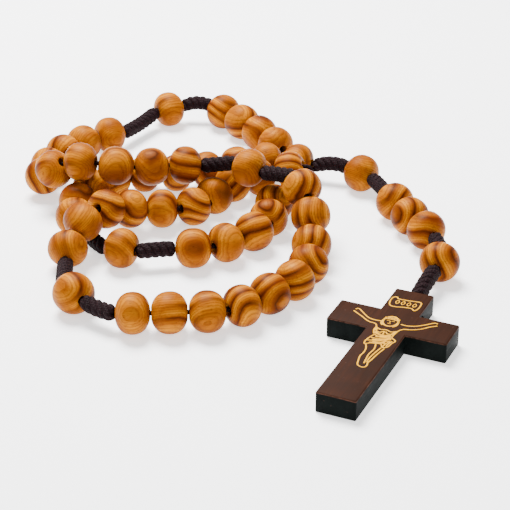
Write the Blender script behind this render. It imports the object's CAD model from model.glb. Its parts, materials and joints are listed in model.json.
import json
import math
import random

import bmesh
import bpy
from mathutils import Matrix, Vector, noise


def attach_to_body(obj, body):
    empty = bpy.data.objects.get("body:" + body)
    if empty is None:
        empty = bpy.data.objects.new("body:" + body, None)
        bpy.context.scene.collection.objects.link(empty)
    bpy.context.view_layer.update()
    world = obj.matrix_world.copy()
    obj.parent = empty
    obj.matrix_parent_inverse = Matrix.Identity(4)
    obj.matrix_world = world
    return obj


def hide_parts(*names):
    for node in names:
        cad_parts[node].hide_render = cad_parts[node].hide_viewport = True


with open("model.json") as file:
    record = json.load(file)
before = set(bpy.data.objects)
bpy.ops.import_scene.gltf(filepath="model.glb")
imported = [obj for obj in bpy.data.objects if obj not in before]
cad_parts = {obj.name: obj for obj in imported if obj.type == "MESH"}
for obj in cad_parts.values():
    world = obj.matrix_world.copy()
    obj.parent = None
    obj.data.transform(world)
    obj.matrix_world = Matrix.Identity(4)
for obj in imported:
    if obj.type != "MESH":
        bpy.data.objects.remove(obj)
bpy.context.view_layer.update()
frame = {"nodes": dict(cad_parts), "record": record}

MM = 0.001
UP = Vector((0, 0, 1))

# ---------------------------------------------------------------- the cord's route, as in the CAD
# Each strand is threaded with beads, one on every stretch between two of its points, in mm.
DECADE_1 = ("decade_1_bead_", 1, [
    (19.5, 29.5, 9), (11.5, 31, 5.5), (3, 29.5, 4.5), (-3, 23, 5.5), (-6.5, 15, 4.5), (-13.5, 10, 5.5),
    (-22.5, 10.5, 5.5), (-29.5, 6, 7.5), (-34, -1, 11), (-40, -7.5, 7), (-40.5, -15.5, 3.5),
])
DECADE_2 = ("decade_2_bead_", 1, [
    (-26.5, -43, 5), (-18, -43, 5), (-9.5, -42.5, 5), (-0.5, -42, 5), (6.5, -37, 5), (12.5, -30.5, 5),
    (18.5, -24, 5), (19.5, -14.5, 5), (20.5, -5.5, 6.5), (19.5, 2, 12.5), (16.5, 10, 14.5),
])
DECADE_3 = ("decade_3_bead_", 1, [
    (-8, 21.5, 12.5), (-16.5, 21, 13), (-25.5, 19.5, 12.5), (-35, 19, 14.5), (-44, 21, 14),
    (-50, 25, 7.5), (-51.5, 34, 4), (-49, 42, 6), (-45, 49.5, 4.5), (-39, 56, 5.5), (-31.5, 60.5, 4.5),
])
DECADE_4_START = ("decade_4_bead_", 1, [
    (-6, 78.5, 5), (-0.5, 71.5, 5), (5, 63.5, 5), (9.5, 55.5, 5), (14, 47.5, 5),
])
DECADE_4_END = ("decade_4_bead_", 5, [
    (21.5, 22.5, 5), (12.5, 18.5, 5), (9.5, 10.5, 5), (9.5, 1.5, 5), (2, -5, 5), (-4.5, -10.5, 5),
    (-14, -11, 5),
])
DECADE_5 = ("decade_5_bead_", 1, [
    (-39.5, 2.5, 5), (-41, 11, 5), (-39.5, 20, 5), (-35.5, 28, 5), (-28, 32.5, 5), (-19.5, 32.5, 5),
    (-11, 33.5, 5), (-3, 36.5, 5), (5, 40, 5), (13.5, 41.5, 5), (22, 38.5, 5),
])
PATER_1 = ("pater_bead_", 1, [(-39.5, -29.5, 5), (-34, -37.5, 5)])
PATER_2 = ("pater_bead_", 2, [(8, 16, 13), (1, 21, 13.5)])
PATER_3 = ("pater_bead_", 3, [(-23, 74.5, 5), (-15.5, 79, 5)])
PATER_4 = ("pater_bead_", 4, [(-23, -12.5, 5), (-31, -9, 5)])
PENDANT_1 = ("pendant_bead_", 1, [(32, 36, 5), (37.5, 29.5, 5)])
PENDANT_2 = ("pendant_bead_", 2, [(41, 19.5, 5), (44, 11, 5), (47.5, 3, 5), (51, -5, 5)])
PENDANT_3 = ("pendant_bead_", 5, [(52.5, -14, 5), (49.5, -22, 5)])
# Where the first pendant knot takes in both ends of the loop.
KNOT_START = (22.1, 38.5, 4.6)
LOOP_START = (22, 38.5, 3.7)
LOOP_END = (22.4, 38.5, 5.2)
FIRST_RUN = [(21, 36, 1.5), (20.5, 32, 1), (21, 29.5, 3), (21.5, 28.5, 8)]
BARE_RUN = [
    (14.5, 44, 1.5), (13.5, 41, 0.8), (14, 37, 0.8), (15.5, 33, 0.8), (17.5, 29, 0.8),
    (20, 25.5, 1), (22.5, 23.5, 3),
]
LOW_RUN = [(-31.5, -5.5, 2.2), (-36, 1, 2.2), (-38.5, 0.5, 3.5)]

LOOP_STRANDS = [
    DECADE_1, PATER_1, DECADE_2, PATER_2, DECADE_3, PATER_3, DECADE_4_START, DECADE_4_END,
    PATER_4, DECADE_5,
]
LOOP_POINTS = [
    LOOP_START, *FIRST_RUN, *DECADE_1[2], *PATER_1[2], *DECADE_2[2], *PATER_2[2], *DECADE_3[2],
    *PATER_3[2], *DECADE_4_START[2], *BARE_RUN, *DECADE_4_END[2], *PATER_4[2], *LOW_RUN,
    *DECADE_5[2], LOOP_END,
]
LOOP_KNOTS = {
    "knot_before_pater_1": (DECADE_1[2][-1], PATER_1[2][0]),
    "knot_after_pater_1": (PATER_1[2][-1], DECADE_2[2][0]),
    "knot_before_pater_2": (DECADE_2[2][-1], PATER_2[2][0]),
    "knot_after_pater_2": (PATER_2[2][-1], DECADE_3[2][0]),
    "knot_before_pater_3": (DECADE_3[2][-1], PATER_3[2][0]),
    "knot_after_pater_3": (PATER_3[2][-1], DECADE_4_START[2][0]),
    "knot_before_pater_4": (DECADE_4_END[2][-1], PATER_4[2][0]),
    "knot_after_pater_4": (LOW_RUN[0], LOW_RUN[1]),
}

# ---------------------------------------------------------------- sizes, in metres
BEAD_R = 5.0 * MM
BEAD_LENGTH = 8.0 * MM
BEAD_LONGEST = 9.1 * MM
BEAD_GAP = 0.02 * MM
# Fullness of the shoulders: 2 is an ellipse, more is nearer to a barrel.
BEAD_SQUARE = 2.25
BEAD_SIDES = 56
# How far a bead is out of round, as a share of its radius, and how far its grain leans, in degrees.
BEAD_WEAR = 0.012
GRAIN_LEAN = 14
HOLE_R = 1.1 * MM
MOUTH_R = 1.5 * MM
CORD_R = 0.6 * MM
KNOT_R = 2.05 * MM
KNOT_GAP = 0.05 * MM
KNOT_WRAPS = 4
KNOT_STRAND_R = 0.98 * MM
KNOT_LAY = 7.4 * MM
# A knot closes over this length at both ends.
KNOT_CLOSING = 1.3 * MM
# How far the middle of a knot stands off the straight line between its ends.
KNOT_BOWS = {
    "knot_after_pater_3": 1.2 * MM, "pendant_knot_1": 1.0 * MM, "pendant_knot_4": 0.4 * MM,
    "knot_before_pater_3": -0.5 * MM, "knot_after_pater_1": -0.4 * MM,
}

CROSS_TURN = math.radians(-24.5)
CROSSING = Vector((37.5, -47, 0)) * MM
CROSS_LENGTH = 50 * MM
CROSS_WIDTH = 29 * MM
CROSS_TOP = 15.2 * MM
BEAM = 9.4 * MM
THICK = 5.2 * MM
EASED = 0.38 * MM
CORD_HOLE_R = 0.9 * MM
STOPPER_HOLE_R = 1.5 * MM
STOPPER = Vector((1.6, 6.6, 2.6)) * MM
STOPPER_SIZE = 0.23 * MM
STOPPER_STRAND_R = 0.5 * MM
BARE_ABOVE_CROSS = 1.0 * MM
PRINT_THICK = 0.06 * MM
PRINT_LINE = 0.38 * MM
PRINT_STROKE = 0.75 * MM
LOZENGE_LINE = 0.26 * MM
HEAD_LINE = 0.5 * MM
CROWN_LINE = 0.4 * MM
THORN_LINE = 0.3 * MM
BEARD_LINE = 0.42 * MM
FACE_LINE = 0.2 * MM


def metres(points):
    return [Vector(p) * MM for p in points]


# ---------------------------------------------------------------- camera, light and floor
LENS = 119
CAMERA_PLACE = (0.006, -0.380, 0.1994)
CAMERA_PITCH = math.radians(28)
FLOOR_REACH = 4


def make_camera():
    data = bpy.data.cameras.new("camera")
    data.lens = LENS
    data.sensor_width = 36
    data.clip_start = 0.01
    data.clip_end = 10
    camera = bpy.data.objects.new("camera", data)
    camera.location = CAMERA_PLACE
    camera.rotation_euler = (math.radians(90) - CAMERA_PITCH, 0, 0)
    bpy.context.collection.objects.link(camera)
    bpy.context.scene.camera = camera


def area_light(name, place, target, size, power):
    data = bpy.data.lights.new(name, "AREA")
    data.shape = "DISK"
    data.size = size
    data.energy = power
    light = bpy.data.objects.new(name, data)
    light.location = place
    light.rotation_euler = (Vector(target) - Vector(place)).to_track_quat("-Z", "Y").to_euler()
    bpy.context.collection.objects.link(light)


def make_studio():
    world = bpy.data.worlds.new("studio")
    bpy.context.scene.world = world
    world.use_nodes = True
    background = world.node_tree.nodes["Background"]
    background.inputs["Color"].default_value = (1, 1, 1, 1)
    background.inputs["Strength"].default_value = 0.6
    area_light("key", (-0.12, 0.25, 0.55), (0, 0, 0), 0.35, 17)
    area_light("front_fill", (0.25, -0.55, 0.45), (0, 0, 0), 0.5, 2.0)
    mesh = bpy.data.meshes.new("floor")
    side = FLOOR_REACH
    corners = [(-side, -side, 0), (side, -side, 0), (side, side, 0), (-side, side, 0)]
    mesh.from_pydata(corners, [], [(0, 1, 2, 3)])
    floor = bpy.data.objects.new("floor", mesh)
    bpy.context.collection.objects.link(floor)
    floor.data.materials.append(floor_material())


# ---------------------------------------------------------------- materials
RING_SPACING = 3.5 * MM
RING_SWAY = 3.2
RING_WOBBLE = 0.22
LINES_IN_A_RING = 5.0
# How fast the cord's weave turns, round a strand and for each millimetre along it.
BRAID_AROUND = 37.7
BRAID_ALONG = 11.0
# The crucifix's front colour reaches this far down its sides, and fades over this height.
STAIN_DEPTH = 0.42 * MM
STAIN_FADE = 0.3 * MM


class Nodes:
    """A short way to write a node material."""

    def __init__(self, name):
        self.material = bpy.data.materials.new(name)
        self.material.use_nodes = True
        self.tree = self.material.node_tree
        self.shader = self.tree.nodes["Principled BSDF"]

    def add(self, kind, settings=None, **inputs):
        node = self.tree.nodes.new(kind)
        for key, value in (settings or {}).items():
            setattr(node, key, value)
        for key, value in inputs.items():
            self.feed(node, key.replace("_", " "), value)
        return node

    def feed(self, node, socket, value):
        target = node.inputs[socket]
        if isinstance(value, bpy.types.NodeSocket):
            self.tree.links.new(value, target)
        else:
            target.default_value = value

    def math(self, operation, a, b=0.0, c=0.0):
        node = self.tree.nodes.new("ShaderNodeMath")
        node.operation = operation
        for i, value in enumerate((a, b, c)):
            self.feed(node, i, value)
        return node.outputs[0]

    def noise(self, vector, scale, detail=3.0, rough=0.5):
        node = self.add("ShaderNodeTexNoise", Vector=vector, Scale=scale, Detail=detail, Roughness=rough)
        return node.outputs["Fac"]

    def stretch(self, vector, scale):
        return self.add("ShaderNodeMapping", Vector=vector, Scale=scale).outputs["Vector"]

    def place(self):
        return self.add("ShaderNodeTexCoord").outputs["Object"]

    def apart(self, vector):
        return self.add("ShaderNodeSeparateXYZ", Vector=vector).outputs

    def mask(self, factor, low, high, start=0.0, end=1.0):
        """A grey ramp: start up to low, and end from high on."""
        return self.ramp(factor, [(low, (start,) * 3), (high, (end,) * 3)])

    def ramp(self, factor, stops):
        node = self.tree.nodes.new("ShaderNodeValToRGB")
        self.feed(node, "Fac", factor)
        band = node.color_ramp
        while len(band.elements) < len(stops):
            band.elements.new(1)
        for element, (place, colour) in zip(band.elements, stops):
            element.position = place
            element.color = (*colour, 1)
        return node.outputs["Color"]

    def mix(self, factor, a, b, blend="MIX"):
        node = self.tree.nodes.new("ShaderNodeMix")
        node.data_type = "RGBA"
        node.blend_type = blend
        self.feed(node, 0, factor)
        for i, value in ((6, a), (7, b)):
            self.feed(node, i, (*value, 1) if isinstance(value, tuple) else value)
        return node.outputs[2]

    def bump(self, height, distance, strength=1.0):
        node = self.add("ShaderNodeBump", Height=height, Distance=distance, Strength=strength)
        self.feed(self.shader, "Normal", node.outputs["Normal"])

    def finish(self, colour, roughness, **constants):
        self.feed(self.shader, "Base Color", colour)
        self.feed(self.shader, "Roughness", roughness)
        for key, value in constants.items():
            self.shader.inputs[key.replace("_", " ")].default_value = value
        return self.material


def floor_material():
    n = Nodes("paper")
    grain = n.noise(n.place(), 900)
    n.bump(grain, 0.00005, 0.2)
    colour = n.ramp(grain, [(0, (0.94, 0.94, 0.95)), (1, (0.97, 0.97, 0.98))])
    return n.finish(colour, 0.7, Emission_Color=(1, 1, 1, 1), Emission_Strength=1.1)


def bead_wood_material():
    """Figured wood: curved growth rings round the block's own Z, with fine lines, flecks and pores."""
    n = Nodes("bead_wood")
    place = n.place()
    squares = [n.math("POWER", n.apart(place)[i], 2.0) for i in (0, 1)]
    from_pith = n.math("SQRT", n.math("ADD", *squares))
    along = n.stretch(place, (1, 1, 0.35))
    sway = n.math("MULTIPLY", n.noise(along, 75, 1), RING_SWAY)
    wobble = n.math("MULTIPLY", n.noise(along, 420, 3), RING_WOBBLE)
    rings = n.math("ADD", n.math("MULTIPLY", from_pith, 1 / RING_SPACING), sway)
    rings = n.math("ADD", rings, wobble)
    honey, amber, tan = (0.52, 0.180, 0.0006), (0.31, 0.086, 0.0005), (0.165, 0.036, 0.0004)
    chestnut, umber = (0.080, 0.0135, 0.0008), (0.036, 0.0070, 0.0008)
    banded = n.ramp(n.math("FRACT", rings), [
        (0.0, tan), (0.08, amber), (0.30, honey), (0.55, amber), (0.74, tan), (0.85, chestnut),
        (0.91, umber), (1.0, tan),
    ])
    plain = n.ramp(n.noise(along, 240, 3), [(0.25, honey), (0.5, amber), (0.8, tan)])
    figure = n.mix(n.mask(n.noise(place, 55, 1), 0.38, 0.52, 0.12), plain, banded)
    lines = n.math("FRACT", n.math("MULTIPLY", rings, LINES_IN_A_RING))
    figure = n.mix(n.mask(lines, 0.45, 0.95, 0.0, 0.5), figure, (0.12, 0.021, 0.0006))
    streaks = n.noise(n.stretch(place, (1, 1, 0.06)), 2400, 2, 0.7)
    figure = n.mix(n.mask(streaks, 0.5, 0.75, 0.0, 0.55), figure, (0.11, 0.019, 0.0006))
    red = n.noise(place, 95, 1)
    figure = n.mix(n.mask(red, 0.55, 0.75, 0.0, 0.65), figure, (0.13, 0.019, 0.0006))
    pore = n.mask(n.noise(n.stretch(place, (1, 1, 0.12)), 5200, 1), 0.62, 0.74, 1.0, 0.2)
    figure = n.mix(0.6, figure, pore, "MULTIPLY")
    height = n.math("ADD", n.math("MULTIPLY", lines, -0.3), n.math("MULTIPLY", streaks, 0.7))
    n.bump(n.math("ADD", height, pore), 0.00006, 0.5)
    shine = n.math("ADD", 0.36, n.math("MULTIPLY", streaks, 0.16))
    return n.finish(figure, shine, Specular_IOR_Level=0.12, IOR=1.35, Specular_Tint=(1, 0.66, 0.28, 1))


def cord_material():
    """Plied and waxed fibre. U runs round a strand and V along it in millimetres."""
    n = Nodes("cord")
    uv = n.add("ShaderNodeTexCoord").outputs["UV"]
    around = n.math("MULTIPLY", n.apart(uv)[0], BRAID_AROUND)
    along = n.math("MULTIPLY", n.apart(uv)[1], BRAID_ALONG)
    right = n.math("SINE", n.math("ADD", around, along))
    left = n.math("SINE", n.math("SUBTRACT", around, along))
    weave = n.math("MAXIMUM", right, left)
    fibre = n.noise(n.stretch(uv, (30, 2.2, 1)), 1.6, 4, 0.7)
    tint = n.noise(n.stretch(uv, (3, 0.4, 1)), 1.2, 2)
    base = n.ramp(tint, [(0.3, (0.0040, 0.0009, 0.0013)), (0.7, (0.0100, 0.0024, 0.0036))])
    light = n.mix(n.mask(fibre, 0.45, 0.8, 0.0, 0.75), base, (0.036, 0.0105, 0.0150))
    colour = n.mix(n.mask(weave, 0.2, 0.6, 0.65, 0.0), light, (0.0016, 0.0006, 0.0008))
    n.bump(n.math("ADD", weave, n.math("MULTIPLY", fibre, 0.8)), 0.00009, 0.8)
    return n.finish(colour, 0.65, Specular_IOR_Level=0.07)


def cross_wood_material():
    """Stained wood: reddish brown on the front, near black on the sides, worn along the front's edges."""
    n = Nodes("crucifix_wood")
    place = n.place()
    patchy = n.noise(place, 160, 3)
    grain = n.noise(n.stretch(place, (1, 0.07, 1)), 1500, 3, 0.6)
    front = n.ramp(grain, [(0.3, (0.018, 0.0055, 0.0022)), (0.7, (0.031, 0.0100, 0.0044))])
    front = n.mix(n.mask(patchy, 0.35, 0.7, 0.0, 0.8), front, (0.0170, 0.0066, 0.0036))
    sawn = n.noise(n.stretch(place, (1, 1, 0.3)), 500, 3)
    side = n.ramp(sawn, [(0.3, (0.0010, 0.0019, 0.0016)), (0.75, (0.0032, 0.0050, 0.0044))])
    rise = n.math("SUBTRACT", n.apart(place)[2], THICK - STAIN_DEPTH)
    ragged = n.math("MULTIPLY", n.math("SUBTRACT", patchy, 0.5), 0.9)
    rise = n.math("ADD", n.math("MULTIPLY", rise, 1 / STAIN_FADE), ragged)
    is_front = n.math("MINIMUM", n.math("MAXIMUM", rise, 0.0), 1.0)
    colour = n.mix(is_front, side, front)
    worn = n.math("MULTIPLY", n.math("MULTIPLY", is_front, n.math("SUBTRACT", 1.0, is_front)), 4.0)
    scuff = n.noise(place, 700, 4, 0.65)
    worn = n.math("MULTIPLY", worn, n.mask(scuff, 0.35, 0.6, 0.1, 0.9))
    colour = n.mix(worn, colour, (0.085, 0.036, 0.024))
    specks = n.mask(n.noise(place, 1300, 1), 0.74, 0.8, 0.0, 0.45)
    colour = n.mix(specks, colour, (0.075, 0.036, 0.028))
    n.bump(n.math("ADD", grain, n.math("MULTIPLY", scuff, 0.5)), 0.00006, 0.5)
    shine = n.math("ADD", 0.5, n.math("MULTIPLY", grain, 0.2))
    return n.finish(colour, shine, Specular_IOR_Level=0.035)


def gold_material():
    n = Nodes("gold_print")
    place = n.place()
    colour = n.ramp(n.noise(place, 900, 3), [
        (0.3, (0.54, 0.235, 0.0004)), (0.6, (0.70, 0.335, 0.0006)), (0.85, (0.80, 0.42, 0.003)),
    ])
    n.bump(n.noise(place, 4000, 2), 0.00002, 0.4)
    return n.finish(colour, 0.5, Specular_IOR_Level=0.08)


# ---------------------------------------------------------------- mesh tools
def make_piece(name, verts, faces, material, body, nodes, uvs=None, matrix=None):
    """One visible piece: its mesh, its material, the body that it rides on and the nodes it stands for."""
    mesh = bpy.data.meshes.new(name)
    mesh.from_pydata([tuple(v) for v in verts], [], faces)
    if uvs:
        layer = mesh.uv_layers.new(name="UVMap")
        corners = [uv for face in uvs for uv in face]
        for loop, uv in zip(layer.data, corners):
            loop.uv = uv
    mesh.shade_smooth()
    mesh.materials.append(material)
    mesh.validate()
    piece = bpy.data.objects.new(name, mesh)
    if matrix:
        piece.matrix_world = matrix
    bpy.context.collection.objects.link(piece)
    return attach(piece, body, nodes)


def attach(piece, body, nodes):
    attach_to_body(piece, body)
    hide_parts(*nodes)
    return piece


class Builder:
    """Collects tubes into one mesh, with U round each tube and V along it in millimetres."""

    def __init__(self):
        self.verts, self.faces, self.uvs = [], [], []

    def tube(self, path, radius, sides=12, side_way=None, rise=1.0, capped=True):
        """A tube along the points. radius is a number, or a function of (distance, angle).
        side_way keeps the section level, and rise is then its height over its width."""
        count = len(path)
        ahead = [(path[min(i + 1, count - 1)] - path[max(i - 1, 0)]).normalized() for i in range(count)]
        across = ahead[0].cross(UP)
        if across.length < 0.1:
            across = ahead[0].cross(Vector((1, 0, 0)))
        across.normalize()
        base = len(self.verts)
        run = 0.0
        lengths = []
        for i, point in enumerate(path):
            if i:
                run += (point - path[i - 1]).length
                across = ahead[i - 1].rotation_difference(ahead[i]) @ across
                across = (across - ahead[i] * across.dot(ahead[i])).normalized()
            if side_way:
                across = ahead[i].cross(side_way).normalized()
            above = across.cross(ahead[i])
            lengths.append(run)
            for k in range(sides):
                angle = 2 * math.pi * k / sides
                r = radius(run, angle) if callable(radius) else radius
                beside = point + across * (r * math.cos(angle))
                self.verts.append(beside + above * (r * rise * math.sin(angle)))
        for i in range(count - 1):
            for k in range(sides):
                a, b = base + i * sides + k, base + i * sides + (k + 1) % sides
                self.faces.append((a, b, b + sides, a + sides))
                u, v = k / sides, (k + 1) / sides
                low, high = lengths[i] / MM, lengths[i + 1] / MM
                self.uvs.append(((u, low), (v, low), (v, high), (u, high)))
        if capped:
            self.cap(base, sides, path[0], True, 0.0)
            self.cap(base + (count - 1) * sides, sides, path[-1], False, run / MM)

    def cap(self, base, sides, centre, flipped, along):
        middle = len(self.verts)
        self.verts.append(centre)
        for k in range(sides):
            a, b = base + k, base + (k + 1) % sides
            self.faces.append((b, a, middle) if flipped else (a, b, middle))
            self.uvs.append(((k / sides, along), ((k + 1) / sides, along), ((k + 0.5) / sides, along)))

    def piece(self, name, material, body, nodes, slot):
        return make_piece(name, self.verts, self.faces, material, body, nodes, self.uvs)


def spline(points, step):
    """Smooth curve that touches the middle of every stretch between the points, evenly sampled."""
    middles = [(a + b) / 2 for a, b in zip(points, points[1:])]
    path = [points[0]]
    for i in range(1, len(points) - 1):
        start = points[0] if i == 1 else middles[i - 1]
        end = points[-1] if i == len(points) - 2 else middles[i]
        reach = (points[i] - start).length + (end - points[i]).length
        pieces = max(4, round(reach / step))
        for k in range(1, pieces + 1):
            t = k / pieces
            path.append(start * (1 - t) ** 2 + points[i] * (2 * t * (1 - t)) + end * t * t)
    return path


def through(points, pieces=8):
    """Smooth curve through all the points (Catmull-Rom)."""
    path = []
    ends = [points[0], *points, points[-1]]
    for i in range(1, len(ends) - 2):
        p0, p1, p2, p3 = ends[i - 1: i + 3]
        for k in range(pieces):
            t = k / pieces
            path.append(0.5 * (2 * p1 + (p2 - p0) * t + (2 * p0 - 5 * p1 + 4 * p2 - p3) * t * t
                               + (3 * p1 - 3 * p2 + p3 - p0) * t ** 3))
    path.append(points[-1])
    return path


def plied(radius, plies=3, lay=2.4 * MM):
    """Section of a twisted cord: one soft lobe for each ply, turning once in every lay length."""
    def section(run, angle):
        lobe = abs(math.cos(plies / 2 * (angle - 2 * math.pi * run / lay)))
        return radius * (0.84 + 0.16 * lobe)
    return section


# ---------------------------------------------------------------- beads
def bead_profile(length):
    """Half section of a bead from mouth to mouth: (radius, place along the hole)."""
    half = length / 2
    power = 2 / BEAD_SQUARE
    edge = math.acos((MOUTH_R / BEAD_R) ** (1 / power))
    tall = half / math.sin(edge) ** power
    steps = 26
    outside = []
    for i in range(steps + 1):
        a = -edge + 2 * edge * i / steps
        outside.append((BEAD_R * math.cos(a) ** power, math.copysign(tall * abs(math.sin(a)) ** power, a)))
    lip = MOUTH_R - HOLE_R
    rim = [(HOLE_R + lip * (1 - math.sin(t)), half - lip * 1.2 * (1 - math.cos(t)))
           for t in (math.radians(a) for a in (30, 60, 90))]
    hole = [(HOLE_R, half * 0.4), (HOLE_R, 0), (HOLE_R, -half * 0.4)]
    return outside + rim + hole + [(r, -z) for r, z in reversed(rim)]


def bead(name, start, end, length, material, draw, body, node):
    """A bead turned from its own place in one figured block, its hole about along the grain."""
    axis = (end - start).normalized()
    turned = axis.to_track_quat("Z", "Y").to_matrix()
    lean = Matrix.Rotation(math.radians(draw.uniform(-GRAIN_LEAN, GRAIN_LEAN)), 3, "X")
    spin = Matrix.Rotation(draw.uniform(0, 2 * math.pi), 3, "Z")
    grain = turned @ (lean @ spin)
    # Where in the block the bead was cut, in mm: away from the pith, to one side and along the grain.
    block = Vector((draw.uniform(9, 26), draw.uniform(-4, 4), draw.uniform(-400, 400))) * MM
    seed = Vector((draw.uniform(-50, 50), draw.uniform(-50, 50), draw.uniform(-50, 50)))
    profile = bead_profile(length)
    sides = BEAD_SIDES
    to_grain = grain.inverted() @ turned
    verts = []
    for r, z in profile:
        for k in range(sides):
            a = 2 * math.pi * k / sides
            way = Vector((math.cos(a), math.sin(a), z / BEAD_R))
            worn = 1 + BEAD_WEAR * noise.noise(seed + way * 1.3) if r > MOUTH_R * 1.05 else 1
            verts.append(to_grain @ Vector((r * worn * math.cos(a), r * worn * math.sin(a), z)) + block)
    faces = []
    rows = len(profile)
    for i in range(rows):
        for k in range(sides):
            a, b = i * sides + k, i * sides + (k + 1) % sides
            c, d = (i + 1) % rows * sides + (k + 1) % sides, (i + 1) % rows * sides + k
            faces.append((a, b, c, d))
    place = Matrix.Translation((start + end) / 2 - grain @ block) @ grain.to_4x4()
    return make_piece(name + "_wood", verts, faces, material, body, [node], matrix=place)


def bend_room(before, here, after):
    """Room that a mouth needs at a point of the cord, so that two beads don't run into each other."""
    turn = (here - before).angle(after - here)
    return BEAD_GAP + MOUTH_R * math.tan(turn / 2)


def make_loop_beads(material):
    draw = random.Random(59)
    route = metres(LOOP_POINTS)
    place = {tuple(p): i for i, p in enumerate(LOOP_POINTS)}
    for prefix, first, points in LOOP_STRANDS:
        for i in range(len(points) - 1):
            name = f"{prefix}{first + i}"
            at = place[tuple(points[i])]
            start, end = route[at], route[at + 1]
            room = bend_room(route[at - 1], start, end) + bend_room(start, end, route[at + 2])
            length = min(BEAD_LONGEST, max(BEAD_LENGTH, (end - start).length - room))
            body, node = (name, name) if name in frame["nodes"] else ("root", "pinned_beads")
            bead(name, start, end, length, material, draw, body, node)


def make_pendant_beads(material):
    draw = random.Random(7)
    for prefix, first, points in (PENDANT_1, PENDANT_2, PENDANT_3):
        ends = metres(points)
        for i in range(len(ends) - 1):
            name = f"{prefix}{first + i}"
            bead(name, ends[i], ends[i + 1], BEAD_LENGTH, material, draw, name, name)


# ---------------------------------------------------------------- cord and knots
def make_loop_cord(material):
    path = spline(metres(LOOP_POINTS), 0.5 * MM)
    tube = Builder()
    tube.tube(path, plied(CORD_R))
    piece = tube.piece("loop_cord_plied", material, "root", ["loop_cord"], "cord")


def make_pendant_cords(material):
    steps = 40
    number = 1
    for _, _, points in (PENDANT_1, PENDANT_2, PENDANT_3):
        ends = metres(points)
        for start, end in zip(ends, ends[1:]):
            way = (end - start).normalized()
            reach = (end - start).length
            shape = plied(CORD_R)

            def rounded(run, angle, reach=reach, shape=shape):
                from_end = min(run, reach - run) / CORD_R
                if from_end >= 1:
                    return shape(run, angle)
                return shape(run, angle) * math.sqrt(max(0.02, 1 - (1 - from_end) ** 2))

            tube = Builder()
            tube.tube([start + way * (reach * i / steps) for i in range(steps + 1)], rounded)
            name = f"pendant_cord_{number}"
            tube.piece(name + "_plied", material, name, [name], "cord")
            number += 1


def knot(name, start, end, material, body, node, seed):
    """Barrel knot: wraps of cord wound side by side round the cord, closing at both ends."""
    draw = random.Random(seed)
    way = (end - start).normalized()
    across = way.cross(UP).normalized()
    above = across.cross(way)
    start, end = start + way * KNOT_GAP, end - way * KNOT_GAP
    reach = (end - start).length
    coil_r = KNOT_R - KNOT_STRAND_R
    phase = draw.uniform(0, 2 * math.pi)
    bow = KNOT_BOWS.get(name, draw.uniform(-0.2, 0.2) * MM)
    tubes = Builder()
    steps = max(30, round(reach / (0.22 * MM)))
    for wrap in range(KNOT_WRAPS):
        path, thin = [], []
        for i in range(steps + 1):
            t = i / steps
            run = reach * t
            near = min(run, reach - run)
            closing = math.sqrt(max(0.0, 1 - (1 - min(near / KNOT_CLOSING, 1)) ** 2))
            angle = phase + 2 * math.pi * (wrap / KNOT_WRAPS - run / KNOT_LAY)
            r = coil_r * (0.25 + 0.75 * closing) * (1 + 0.05 * math.sin(5 * angle + seed))
            middle = start + way * run + above * (bow * math.sin(math.pi * t))
            path.append(middle + across * (r * math.cos(angle)) + above * (r * math.sin(angle)))
            thin.append(KNOT_STRAND_R * (0.35 + 0.65 * closing))
        lengths = [0.0]
        for a, b in zip(path, path[1:]):
            lengths.append(lengths[-1] + (b - a).length)

        def section(run, angle, lengths=lengths, thin=thin):
            i = min(range(len(lengths)), key=lambda j: abs(lengths[j] - run))
            return thin[i] * (0.95 + 0.05 * abs(math.cos(2 * angle - run / MM * 2.1)))

        tubes.tube(path, section, sides=14)
    return tubes.piece(name + "_wrapped", material, body, [node], "cord")


def make_knots(material):
    for seed, (name, (start, end)) in enumerate(LOOP_KNOTS.items()):
        start, end = metres((start, end))
        knot(name, start, end, material, "root", "loop_knots", seed)
    hole = cross_place() @ Vector((0, CROSS_TOP, THICK / 2))
    up = cross_place().to_3x3() @ Vector((0, 1, 0))
    runs = [
        metres((KNOT_START, PENDANT_1[2][0])),
        metres((PENDANT_1[2][-1], PENDANT_2[2][0])),
        metres((PENDANT_2[2][-1], PENDANT_3[2][0])),
        [Vector(PENDANT_3[2][-1]) * MM, hole + up * (BARE_ABOVE_CROSS - KNOT_GAP)],
    ]
    for i, (start, end) in enumerate(runs):
        name = f"pendant_knot_{i + 1}"
        knot(name, start, end, material, name, name, 20 + i)


# ---------------------------------------------------------------- crucifix
def cross_place():
    """The crucifix's own frame: the middle of its crossing on the table, its top end along +Y."""
    return Matrix.Translation(CROSSING) @ Matrix.Rotation(CROSS_TURN, 4, "Z")


def drill(target, centre, way, radius, depth):
    """Cuts a round hole from the centre outwards."""
    cutter = bpy.data.meshes.new("cutter")
    bm = bmesh.new()
    bmesh.ops.create_cone(bm, cap_ends=True, segments=48, radius1=radius, radius2=radius, depth=depth)
    bm.to_mesh(cutter)
    bm.free()
    tool = bpy.data.objects.new("cutter", cutter)
    turn = way.to_track_quat("Z", "Y").to_matrix().to_4x4()
    tool.matrix_world = Matrix.Translation(centre + way * depth / 2) @ turn
    bpy.context.collection.objects.link(tool)
    cut = target.modifiers.new("hole", "BOOLEAN")
    cut.operation = "DIFFERENCE"
    cut.solver = "EXACT"
    cut.object = tool
    apply_modifiers(target)
    bpy.data.objects.remove(tool)


def apply_modifiers(piece):
    graph = bpy.context.evaluated_depsgraph_get()
    mesh = bpy.data.meshes.new_from_object(piece.evaluated_get(graph))
    piece.modifiers.clear()
    piece.data = mesh


def in_a_corner(edge, half):
    """Whether an edge stands upright in one of the four corners between the beam and the arms."""
    low, high = (vert.co for vert in edge.verts)
    tiny = 1e-6
    at_corner = all(abs(abs(part) - half) < tiny for end in (low, high) for part in (end.x, end.y))
    return at_corner and abs(low.z - high.z) > tiny


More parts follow.
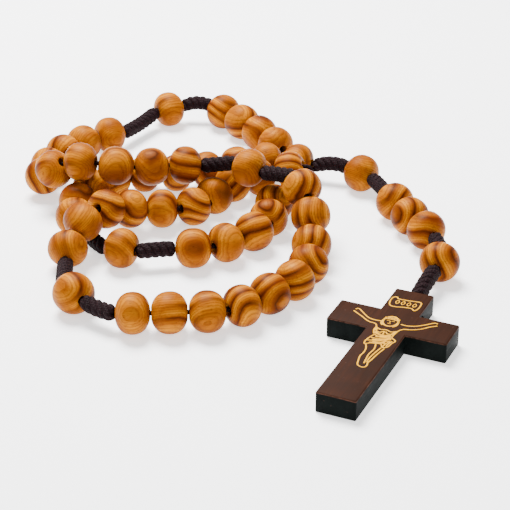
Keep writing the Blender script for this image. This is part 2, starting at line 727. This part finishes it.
def make_crucifix(material):
    half, arm = BEAM / 2, CROSS_WIDTH / 2
    foot = CROSS_LENGTH - CROSS_TOP
    quarter = [(half, CROSS_TOP), (half, half), (arm, half), (arm, -half), (half, -half), (half, -foot)]
    outline = quarter + [(-x, y) for x, y in reversed(quarter)]
    bm = bmesh.new()
    face = bm.faces.new([bm.verts.new((x, y, 0)) for x, y in outline])
    top = bmesh.ops.extrude_face_region(bm, geom=[face])["geom"]
    for vert in (v for v in top if isinstance(v, bmesh.types.BMVert)):
        vert.co.z = THICK
    bmesh.ops.recalc_face_normals(bm, faces=bm.faces)
    outer = [edge for edge in bm.edges if not in_a_corner(edge, half)]
    bmesh.ops.bevel(bm, geom=outer, offset=EASED, segments=4, profile=0.5, affect="EDGES",
                    clamp_overlap=True)
    mesh = bpy.data.meshes.new("crucifix")
    bm.to_mesh(mesh)
    bm.free()
    piece = bpy.data.objects.new("crucifix_body", mesh)
    bpy.context.collection.objects.link(piece)
    middle = Vector((0, STOPPER.y, THICK / 2))
    drill(piece, middle, Vector((0, 1, 0)), CORD_HOLE_R, CROSS_TOP)
    drill(piece, middle - Vector((1, 0, 0)) * MM, Vector((1, 0, 0)), STOPPER_HOLE_R, BEAM)
    piece.data.materials.clear()
    piece.data.materials.append(material)
    piece.data.shade_smooth()
    piece.data.set_sharp_from_angle(angle=math.radians(35))
    piece.matrix_world = cross_place()
    attach(piece, "crucifix", ["crucifix"])


def make_crucifix_cord(material):
    """The cord's last length: in through the top end, round to the side hole and into a stopper knot."""
    place = cross_place()
    level = THICK / 2
    route = [(0, CROSS_TOP + BARE_ABOVE_CROSS / 2, level), (0, STOPPER.y + 3 * MM, level),
             (0, STOPPER.y, level), (STOPPER.x, STOPPER.y, level)]
    cord = Builder()
    cord.tube([place @ p for p in spline([Vector(p) for p in route], 0.3 * MM)], plied(CORD_R))
    steps = 90
    knotted = []
    for i in range(steps + 1):
        t = 2 * math.pi * i / steps
        trefoil = Vector((-math.sin(3 * t), math.sin(t) + 2 * math.sin(2 * t),
                          math.cos(t) - 2 * math.cos(2 * t)))
        knotted.append(place @ (STOPPER + trefoil * STOPPER_SIZE))
    cord.tube(knotted, STOPPER_STRAND_R)
    cord.piece("crucifix_cord_plied", material, "crucifix", ["crucifix_cord"], "cord")


# Lines of the gold print, in mm from the middle of the crossing. The head's face is a plain design.
PRINT_LINES = [
    # scroll
    [(-3.6, 7.4), (-3.9, 9.2), (-3.7, 10.6), (-3.0, 11.0), (-2.3, 10.3), (0, 10.4), (2.9, 10.7),
     (3.4, 9.2), (3.3, 7.4), (2.8, 6.5), (1.9, 7.2), (0, 7.0), (-1.8, 6.5), (-3.0, 6.6), (-3.6, 7.4)],
    # arms
    [(-9.8, 1.7), (-9.1, 2.2), (-7.6, 0.9), (-6.1, -0.4), (-4.9, -1.0), (-3.4, -1.1), (-2.4, -0.9)],
    [(-9.9, 0.9), (-8.4, -0.1), (-7.1, -0.9), (-5.9, -1.8), (-4.7, -2.4), (-3.3, -2.6), (-2.6, -3.7),
     (-2.6, -5.2), (-2.0, -7)],
    [(9.8, 3.0), (8.9, 3.0), (7.3, 1.4), (5.4, -0.1), (3.6, -0.7), (2.2, -0.6)],
    [(10.0, 2.1), (8.6, 1.0), (7.0, -0.8), (5.2, -1.9), (3.5, -2.5), (2.7, -3.6), (2.4, -5.2), (2.3, -6.6)],
    # legs and feet
    [(-2.0, -11.9), (-1.3, -13.6), (-1.1, -15.4), (-1.3, -17.2), (-0.9, -19.4), (-0.5, -20.8),
     (0.4, -21.4), (1.3, -21.2), (1.5, -20.2), (1.3, -19.2), (1.6, -17.6), (1.9, -15.2), (2.5, -12.2)],
    [(0.1, -11.2), (0.5, -13.2), (0.2, -15.8), (0.4, -18.0), (0.6, -19.8)],
    [(1.0, -19.2), (0.9, -17.4), (1.2, -14.8), (1.7, -12.2)],
    # cloth: outline and folds
    [(-1.6, -7.0), (-2.2, -8.6), (-2.6, -10.6), (-2.3, -11.9), (-1.2, -11.1), (0.0, -10.8),
     (1.1, -10.6), (1.9, -11.9), (2.9, -11.2), (3.2, -9.5), (3.6, -8.1), (2.5, -7.2), (2.2, -6.4)],
    [(-1.7, -7.2), (-0.4, -7.8), (1.0, -7.6), (2.2, -6.6)],
    [(-2.0, -8.8), (-0.6, -8.7), (1.0, -8.2), (2.4, -7.4)],
    [(-2.3, -10.2), (-0.8, -9.7), (0.8, -9.2), (2.3, -8.0)],
    [(-1.6, -10.9), (-0.3, -10.3), (0.9, -9.9), (2.5, -8.7)],
    [(1.9, -11.6), (2.0, -10.2), (2.6, -8.8)],
    [(2.5, -11.2), (2.6, -9.9), (3.0, -8.6)],
    # chest
    [(-2.5, -3.9), (-1.3, -4.6), (0, -4.3), (1.3, -4.7), (2.5, -4.0)],
    [(-2.3, -5.4), (-1.0, -5.9), (-0.2, -5.1), (0, -6.6)],
    [(2.2, -5.5), (1.0, -5.9), (0.2, -5.1)],
    [(-1.9, -6.5), (-0.8, -6.9), (0.5, -6.7), (1.9, -6.2)],
]
# Broader strokes where the drawing is nearly solid, at the ribs and the waist.
PRINT_STROKES = [
    [(-2.1, -6.1), (-0.3, -6.9), (2.0, -6.5)],
    [(-2.3, -4.3), (-2.1, -5.7)],
    [(2.2, -4.5), (1.9, -6.0)],
    [(-1.2, -7.9), (0.4, -7.5), (2.2, -7.2)],
    [(-0.2, -8.6), (1.2, -8.5), (2.5, -7.8)],
    [(-1.4, -9.6), (0.2, -9.2), (1.8, -9.0)],
    [(-1.0, -10.4), (0.6, -10.1), (1.8, -9.9)],
]
HEAD = (-0.4, -0.3)
HEAD_SIZE = (1.75, 2.25)
# Brows, nose and mouth, in mm from the middle of the head.
FACE_LINES = [
    [(-0.95, 0.1), (-0.55, 0.25), (-0.2, 0.1)],
    [(0.2, 0.1), (0.55, 0.25), (0.95, 0.1)],
    [(0.0, 0.1), (-0.12, -0.5), (0.12, -0.5)],
    [(-0.4, -1.0), (0.0, -1.1), (0.4, -1.0)],
]
# Plain ornament inside the scroll: a run of small lozenges.
LOZENGES = [-2.1, -0.7, 0.7, 2.1]
LOZENGE_Y = 8.8
LOZENGE_HALF = (0.42, 0.85)


def make_print(material):
    place = cross_place()
    gold = Builder()

    def line(points, width=PRINT_LINE, pieces=6):
        path = through([Vector((x, y, 0)) * MM for x, y in points], pieces)
        raised = [place @ (p + Vector((0, 0, THICK + PRINT_THICK * 0.1))) for p in path]
        gold.tube(raised, width / 2, sides=10, side_way=UP, rise=2 * PRINT_THICK / width)

    for points in PRINT_LINES:
        line(points)
    for points in PRINT_STROKES:
        line(points, PRINT_STROKE)
    half_wide, half_tall = LOZENGE_HALF
    for x in LOZENGES:
        corners = [(x - half_wide, LOZENGE_Y), (x, LOZENGE_Y + half_tall), (x + half_wide, LOZENGE_Y),
                   (x, LOZENGE_Y - half_tall), (x - half_wide, LOZENGE_Y)]
        line(corners, LOZENGE_LINE, 3)
    hx, hy = HEAD
    wide, tall = HEAD_SIZE
    turns = [math.radians(15 * i) for i in range(25)]
    line([(hx + wide * math.cos(a), hy + tall * math.sin(a)) for a in turns], HEAD_LINE, 3)
    for lift in (0.75, 1.35):
        band = [(hx - wide * 1.05, hy + lift), (hx, hy + lift + 0.25), (hx + wide * 1.05, hy + lift)]
        line(band, CROWN_LINE)
    for x in (-1.1, -0.4, 0.3, 1.0):
        line([(hx + x, hy + 0.8), (hx + x + 0.3, hy + 1.5)], THORN_LINE, 3)
    for side in (-1, 1):
        beard = [(hx + side * wide, hy + 0.4), (hx + side * 1.9, hy - 1.2), (hx + side * 1.2, hy - 2.3)]
        line(beard, BEARD_LINE)
    for points in FACE_LINES:
        line([(hx + x, hy + y) for x, y in points], FACE_LINE, 4)
    gold.piece("crucifix_print_gold", material, "crucifix", ["crucifix_print"], "gold_print")


# ---------------------------------------------------------------- build
def paint_frame_nodes(materials):
    """The CAD nodes stay hidden behind their pieces, in the same materials."""
    for part in frame["record"]["subparts"]:
        node = frame["nodes"][part["node"]]
        node.data.materials.clear()
        node.data.materials.append(materials[part["material_slot"]])


materials = {
    "bead_wood": bead_wood_material(),
    "cord": cord_material(),
    "crucifix_wood": cross_wood_material(),
    "gold_print": gold_material(),
}
make_camera()
make_studio()
make_loop_cord(materials["cord"])
make_pendant_cords(materials["cord"])
make_knots(materials["cord"])
make_crucifix_cord(materials["cord"])
make_loop_beads(materials["bead_wood"])
make_pendant_beads(materials["bead_wood"])
make_crucifix(materials["crucifix_wood"])
make_print(materials["gold_print"])
paint_frame_nodes(materials)
